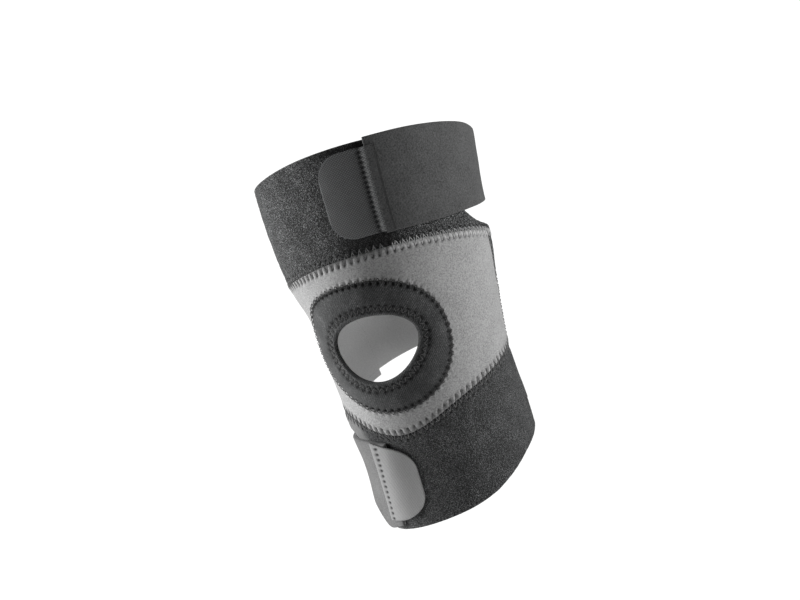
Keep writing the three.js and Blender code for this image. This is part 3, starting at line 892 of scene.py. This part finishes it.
def kneecap_ring():
    round_lengths = np.arange(round(ring_line.length / ring_line.pitch) * 8) * ring_line.pitch / 8
    direction = ring_line.at(round_lengths)[::-1]
    edges = opening_edge(direction), ring_edge(direction, -SEAM_GAP / 2)
    angle, height, to_hole, to_seam = round_band(*edges, OPENING_ZONE, RIM_ZONE, RING_STEP)
    across = to_hole / (to_hole + to_seam)
    crown = np.sin(math.pi * np.clip(across, 0, 1)) ** 0.5
    along_in = opening_line.along(direction)[:, None]
    along_out = ring_line.along(direction)[:, None]
    uneven = 0.5 * MM * wander(along_in, to_hole, 2.1 * MM, 19)
    pits = 0
    for row, phase, width in zip(OPENING_ROWS, (0.0, 0.5), (1.4 * MM, 1.6 * MM)):
        away = from_hole(along_in + uneven, opening_line.pitch, phase)
        pits = pits + ridge(np.hypot(away, to_hole - row), width)
    rough = wander(angle * PER_DEGREE, height, 1.1 * MM, 17)
    band = ridge(to_hole - sum(OPENING_ROWS) / 2, 3.6 * MM)
    relief = (BAND_ROUGHNESS * rough - BAND_DIP) * band - BAND_PITS * pits
    relief += pucker(along_out, to_seam, ring_line.pitch, 0.5, *RING_PUCKER)
    base = settle(angle, height)
    outer = PANEL_WALL - RING_SINK + RING_CROWN * crown + base + relief - rounding(to_hole, 2 * MM)
    inner = base + rounding(to_hole, 0.8 * MM)
    # Painted shade in the needle holes along the ring's outer edge and in the pits of the rough band round
    # the opening; the band is also darker at random.
    away = from_hole(along_out + 0.7 * MM * wander(along_out, to_seam, 3.1 * MM, 23), ring_line.pitch, 0.5)
    outer_hole_shade = ridge(np.hypot(away, 0.8 * (to_seam - 1.5 * MM)), 1.9 * MM)
    shade = np.clip(outer_hole_shade + 0.9 * pits + 0.5 * band * rough, 0, 1)
    options = {"closed": True, "form": "pad"}
    materials = [knit, knit, lining]
    piece = shell("kneecap_ring", "ring_knit", angle, height, outer, inner, materials, shade, **options)


def back_panel():
    columns = ends(SIDE_SEAM, TURN - SIDE_SEAM, BACK_STEP)
    lean = (columns - TURN / 2) / (TURN / 2 - SIDE_SEAM)
    low = low_seam(columns) + SEAM_GAP / 2
    high = top_seam(columns + SIDE_SEAM_LEAN * lean) - SEAM_GAP / 2
    straight, height, to_low, to_top = grid(columns, low, high, HEM_ZONE, HEM_ZONE, BACK_STEP)
    angle = straight + side_lean(height) * lean[:, None]
    to_edge = nearest(to_low, to_top, end_distance(straight, SIDE_SEAM, TURN - SIDE_SEAM))
    base = settle(angle, height)
    groove = 0.5 * MM * ridge(to_edge, 1.2 * MM)
    outer = PANEL_WALL + base + nap(angle, height, 13) - rounding(to_edge) - groove
    shell("back_panel", "loop_pile", angle, height, outer, base, [calf_pile, dark_foam, lining])


def calf_lean(angle, height):
    share = height / CALF_LENGTH + CALF_STRAP_MIDDLE
    away = abs(angle + CALF_STRAP_END)
    return CALF_STRAP_LEAN * share * (1 - smoothstep(away, 0, 2 * CALF_STRAP_END))


def upright(angle, height):
    return 0 * angle


def strap(node, slot, rows, end, side, seam, hem, lean, materials):
    """A strap from its fastened end to where it is sewn to its cuff, behind the leg."""
    sewn = side * (TURN - CUFF_SEWN_END + STRAP_OVERLAP)
    columns = ends(side * end, sewn, CLOTH_STEP)
    columns = columns if side > 0 else columns[::-1]
    turn = (columns - side * end) / (sewn - side * end)
    read = lambda column: read_table(rows, "turn", column, turn)
    edges = [lerp(seam(columns), hem(columns), read(column)) for column in ("low", "high")]
    low, high = np.minimum(*edges), np.maximum(*edges)
    straight, height, to_low, to_high = grid(columns, low, high, HEM_ZONE, HEM_ZONE)
    angle = straight + lean(straight, height)
    to_edge = nearest(to_low, to_high, end_distance(straight, side * end, sewn))
    outward = (to_low if hem(0.0) > 0 else to_high) / (high - low)[:, None]
    flare = STRAP_FLARE * read("flare")[:, None] * outward**2
    base = settle(angle, height) + OVER_CUFF * read("ride")[:, None] + flare
    waves = 0.18 * MM * wander(angle * PER_DEGREE, height, 16 * MM, 21)
    outer = base + STRAP_WALL + waves - rounding(to_edge, 1 * MM)
    inner = base + rounding(to_edge, 0.6 * MM)
    shell(node, slot, angle, height, outer, inner, materials)


def tab_places(tab, side, seam, hem):
    """A hook tab's columns, its edges, how far each is up on the strap, and its turn from the front."""
    free_end, sewn_end = tab["strap_end"] - tab["reach"], tab["strap_end"] + tab["sewn"]
    inward = 1 if hem(0.0) > 0 else -1
    per_degree = math.radians(KNEE_WIDTH * float(read_table(SECTIONS, "at", "right", inward)))
    corner_turn, step_turn = TAB_CORNER / per_degree, tab["step_length"] / per_degree
    corner = free_end + corner_turn * (1 - np.cos(np.linspace(0, math.pi / 2, 20)))
    rest = np.arange(corner[-1] + TAB_STEP, sewn_end - 2 * TAB_STEP, TAB_STEP)
    close = sewn_end - np.array([1.1, 0.7, 0.35, 0.12, 0])
    along = np.concatenate([corner, rest, close])
    share = np.clip((along - free_end) / corner_turn, 0, 1)
    inset = TAB_CORNER * (1 - np.sqrt(1 - (1 - share) ** 2))
    columns = side * along
    low = lerp(seam(columns), hem(columns), TAB_LOW) + inward * inset
    high = lerp(seam(columns), hem(columns), tab["high"]) - inward * inset
    up = smoothstep(along, tab["strap_end"] - step_turn, tab["strap_end"])
    places = (columns, np.minimum(low, high), np.maximum(low, high), up, along)
    return [part[::side] for part in places]


def hook_tab(node, slot, tab, side, seam, hem, lean, materials):
    """A hook tab, flat on its cuff and up on its strap, with a row of needle holes where it is sewn."""
    columns, low, high, up, along = tab_places(tab, side, seam, hem)
    hole_inset, pitch, hole_shade_strength = tab["holes"]
    straight, height, to_low, to_high = grid(columns, low, high, TAB_ZONE, TAB_ZONE, TAB_CLOTH_STEP)
    angle = straight + lean(straight, height)
    to_free = (along - (tab["strap_end"] - tab["reach"]))[:, None] * PER_DEGREE
    to_sewn = (tab["strap_end"] + tab["sewn"] - along)[:, None] * PER_DEGREE
    to_edge = nearest(to_low, to_high, to_free, to_sewn)
    hole = np.hypot(from_hole(height, pitch, 0.0), 0.7 * (to_sewn - hole_inset))
    row = np.clip(1.5 * ridge(hole, 2.5 * HOLE_RADIUS), 0, 1)
    base = settle(angle, height) + lerp(OVER_CUFF, OVER_STRAP, up)[:, None]
    outer = base + TAB_WALL - rounding(to_edge, 0.6 * MM) - 0.5 * MM * row
    # Painted shade in the row of needle holes, and a painted shadow line along the sewn edge where the tab
    # has one.
    shade = np.maximum(hole_shade_strength * row, tab["edge_shade"] * ridge(to_sewn, 1.3 * MM))
    on_strap = along[:-1, None] > tab["strap_end"]
    faced = np.repeat(on_strap, height.shape[1] - 1, axis=1)
    shell(node, slot, angle, height, outer, base, materials, shade, faced=faced)


def straps_and_tabs():
    thigh = (1, top_seam, top_hem, upright)
    calf = (-1, low_seam, low_hem, calf_lean)
    cloth = [dark_jersey, strap_foam_and_highlight, lining]
    strap("thigh_strap", "dark_jersey", THIGH_STRAP, THIGH_STRAP_END, *thigh, cloth)
    cloth = [dark_weave, shadowed_tab_rim, dark_foam, dark_jersey]
    hook_tab("thigh_hook_tab", "dark_weave", THIGH_TAB, *thigh, cloth)
    cloth = [grey_jersey, grey_foam, lining]
    strap("calf_strap", "grey_jersey", CALF_STRAP, CALF_STRAP_END, *calf, cloth)
    cloth = [grey_weave, grey_foam, dark_foam, grey_weave]
    hook_tab("calf_hook_tab", "grey_weave", CALF_TAB, *calf, cloth)


# Stitching

def joined(first, second):
    return [np.concatenate(pair) for pair in zip(first, second)]


def seam_threads(name, line, seam, panel_side, start, stop, material, reach_out, doubled=False):
    """A zigzag over a seam: from a hole in the panel to one in the cuff, and on to the panel's next."""
    first = math.ceil(line.along(start) / line.pitch)
    last = math.floor(line.along(stop) / line.pitch)
    stitch = np.arange(first, last)
    here, half, after = (line.at((stitch + part) * line.pitch) for part in (0, 0.5, 1))
    depth = np.full(stitch.shape, PANEL_WALL)
    in_panel = lambda angle: (angle, seam(angle) + panel_side * HOLE_INSET, depth)
    in_cuff = lambda angle: (angle, seam(angle) - panel_side * reach_out, depth)
    starts = joined(in_panel(here), in_cuff(half))
    stops = joined(in_cuff(half), in_panel(after))
    if doubled:
        starts = joined(starts, in_panel(here))
        stops = joined(stops, in_cuff(here))
    threads(name, starts, stops, material, THREAD_RADIUS * (1.15 if doubled else 1))


def ring_threads(name, line, edge_place, material, reach_in, reach_out, rise):
    """A zigzag round a closed edge between two distances from it."""
    stitch = np.arange(round(line.length / line.pitch))
    here, half, after = (line.at((stitch + part) * line.pitch % line.length) for part in (0, 0.5, 1))
    depth = np.full(stitch.shape, PANEL_WALL)
    near = lambda direction: (*edge_place(direction, -reach_in), depth + rise)
    far = lambda direction: (*edge_place(direction, reach_out), depth)
    starts, stops = joined(near(here), far(half)), joined(far(half), near(after))
    threads(name, starts, stops, material, lift=0.5 * MM)


def opening_offset(direction, offset):
    """A place this far outside the kneecap opening's edge."""
    inner, outer = opening_edge(direction), ring_edge(direction)
    share = offset / apart(*inner, *outer)
    return lerp(inner[0], outer[0], share), lerp(inner[1], outer[1], share)


def row_threads(name, angle, height, depth, swing, material):
    """A zigzag along a row of places, a swing to each side of it."""
    side = np.where(np.arange(len(height)) % 2, swing, -swing)
    places = (angle + side, height, np.broadcast_to(depth, height.shape))
    starts, stops = [part[:-1] for part in places], [part[1:] for part in places]
    threads(name, starts, stops, material, ROW_THREAD_RADIUS)


def tab_threads():
    """Up the step where the thigh's hook tab climbs over its strap's end."""
    end = THIGH_TAB["strap_end"]
    low, high = (lerp(top_seam(end), top_hem(end), share) for share in (TAB_LOW, THIGH_TAB["high"]))
    height = np.arange(low + 1.5 * MM, high - 1.5 * MM, 1.6 * MM)
    depth = TAB_WALL + lerp(OVER_CUFF, OVER_STRAP, np.where(np.arange(len(height)) % 2, 1, 0.35))
    row_threads("thigh_hook_tab_stitches", end - 0.5, height, depth, 1.5, soft_thread)


def side_threads(name, sign):
    """Up a side seam, between the front and the back panel."""
    low = low_seam(sign * SIDE_SEAM) + 3 * MM
    high = top_seam(sign * (SIDE_SEAM - SIDE_SEAM_LEAN)) - 3 * MM
    height = np.arange(low, high, SEAM_PITCH / 2)
    angle = sign * (SIDE_SEAM - side_lean(height))
    row_threads(name, angle, height, PANEL_WALL, 2.6 * MM / PER_DEGREE, soft_thread)


def strap_end_threads(name, rows, side, seam, hem, material, slot):
    """Along the end of a strap that is sewn to its cuff, behind the leg."""
    place = side * (TURN - CUFF_SEWN_END + STRAP_OVERLAP - 4)
    shares = [read_table(rows, "turn", column, 1.0) for column in ("low", "high")]
    edges = [lerp(seam(place), hem(place), share) for share in shares]
    height = np.arange(min(edges) + 2 * MM, max(edges) - 2 * MM, 2.2 * MM)
    row_threads(name, place, height, OVER_CUFF + STRAP_WALL, 1.4, material)


def stitching():
    upper = (upper_line, top_seam, -1)
    lower = (lower_line, low_seam, 1)
    end = CUFF_SEWN_END - 1
    side = SIDE_SEAM - 1
    seam_threads("upper_seam_stitches_left", *upper, -end, LIGHT_STITCHES, soft_thread, STITCH_REACH)
    light = (LIGHT_STITCHES, side, light_thread, LIGHT_STITCH_REACH)
    seam_threads("upper_seam_stitches_right", *upper, *light, doubled=True)
    seam_threads("lower_seam_stitches", *lower, -side, end, soft_thread, STITCH_REACH)
    reach = RING_STITCH_REACH
    ring_threads("ring_edge_stitches", ring_line, ring_edge, dark_thread, reach, reach, 0.9 * MM)
    near, far = OPENING_ROWS
    ring_threads("opening_stitches", opening_line, opening_offset, ring_thread, -near, far, 0.8 * MM)
    tab_threads()
    side_threads("right_side_stitches", 1)
    side_threads("left_side_stitches", -1)
    thigh = (THIGH_STRAP, 1, top_seam, top_hem)
    calf = (CALF_STRAP, -1, low_seam, low_hem)
    strap_end_threads("thigh_strap_stitches", *thigh, soft_thread, "dark_jersey")
    strap_end_threads("calf_strap_stitches", *calf, light_thread, "grey_jersey")


# The stage

def heading(turn, lift):
    """A unit vector turned so far round the sleeve from its front and lifted so far above it."""
    turn, lift = math.radians(turn), math.radians(lift)
    return Vector((math.sin(turn) * math.cos(lift), -math.cos(turn) * math.cos(lift), math.sin(lift)))


def photo_camera():
    turn, roll = math.radians(CAMERA_TURN), math.radians(CAMERA_ROLL)
    back = heading(CAMERA_TURN, CAMERA_LIFT)
    right = Vector((math.cos(turn), math.sin(turn), 0))
    up = back.cross(right)
    x_axis = right * math.cos(roll) - up * math.sin(roll)
    y_axis = right * math.sin(roll) + up * math.cos(roll)
    data = bpy.data.cameras.new("photo_camera")
    data.sensor_width = SENSOR_WIDTH
    data.lens = PIXELS_PER_METRE * CAMERA_DISTANCE / IMAGE_WIDTH * SENSOR_WIDTH
    data.shift_x = (IMAGE_WIDTH / 2 - CENTRE_PIXEL[0]) / IMAGE_WIDTH
    data.shift_y = (CENTRE_PIXEL[1] - IMAGE_HEIGHT / 2) / IMAGE_WIDTH
    data.clip_end = 60
    camera = put("photo_camera", data)
    turned = Matrix((x_axis, y_axis, back)).transposed().to_4x4()
    camera.matrix_world = Matrix.Translation(back * CAMERA_DISTANCE) @ turned
    bpy.context.scene.camera = camera


def soft_box(name, turn, lift, size, power):
    """A square light that faces the sleeve."""
    place = heading(CAMERA_TURN + turn, lift) * LIGHT_DISTANCE
    data = bpy.data.lights.new(name, "AREA")
    data.shape = "SQUARE"
    data.size = size
    data.energy = power
    turned = place.to_track_quat("Z", "Y").to_matrix().to_4x4()
    put(name, data).matrix_world = Matrix.Translation(place) @ turned


def white_world(seen, lit):
    """A white surround, as bright as this where it is seen and as this where it lights the sleeve."""
    world = bpy.data.worlds.new("white_world")
    world.use_nodes = True
    tree = world.node_tree
    background = tree.nodes["Background"]
    background.inputs["Color"].default_value = (1, 1, 1, 1)
    path = tree.nodes.new("ShaderNodeLightPath")
    level = tree.nodes.new("ShaderNodeMapRange")
    level.inputs["To Min"].default_value = lit
    level.inputs["To Max"].default_value = seen
    tree.links.new(path.outputs["Is Camera Ray"], level.inputs["Value"])
    tree.links.new(level.outputs["Result"], background.inputs["Strength"])
    bpy.context.scene.world = world


def floor(level, reach):
    mesh = bpy.data.meshes.new("floor")
    spin = np.linspace(0, 2 * math.pi, 96, endpoint=False)
    points = [(reach * math.cos(a), reach * math.sin(a), level) for a in spin]
    mesh.from_pydata(points, [], [range(len(points))])
    finish = Finish("floor_paper", 0.9)
    grain = finish.noise(3 * MM, 2)
    colour = finish.shades(grain, [(0, grey(0.93)), (1, grey(0.97))])
    finish.feed(finish.surface, {"Base Color": colour})
    mesh.materials.append(finish.material)
    piece = put("floor", mesh)


def stage():
    photo_camera()
    for name, light in LIGHTS.items():
        soft_box(name, *light)
    white_world(1.1, 0.1)
    floor(-0.55, 0.75)
    bpy.context.scene.view_settings.view_transform = "Standard"


stage()
thigh_cuff()
front_panel()
kneecap_ring()
back_panel()
calf_cuff()
straps_and_tabs()
stitching()
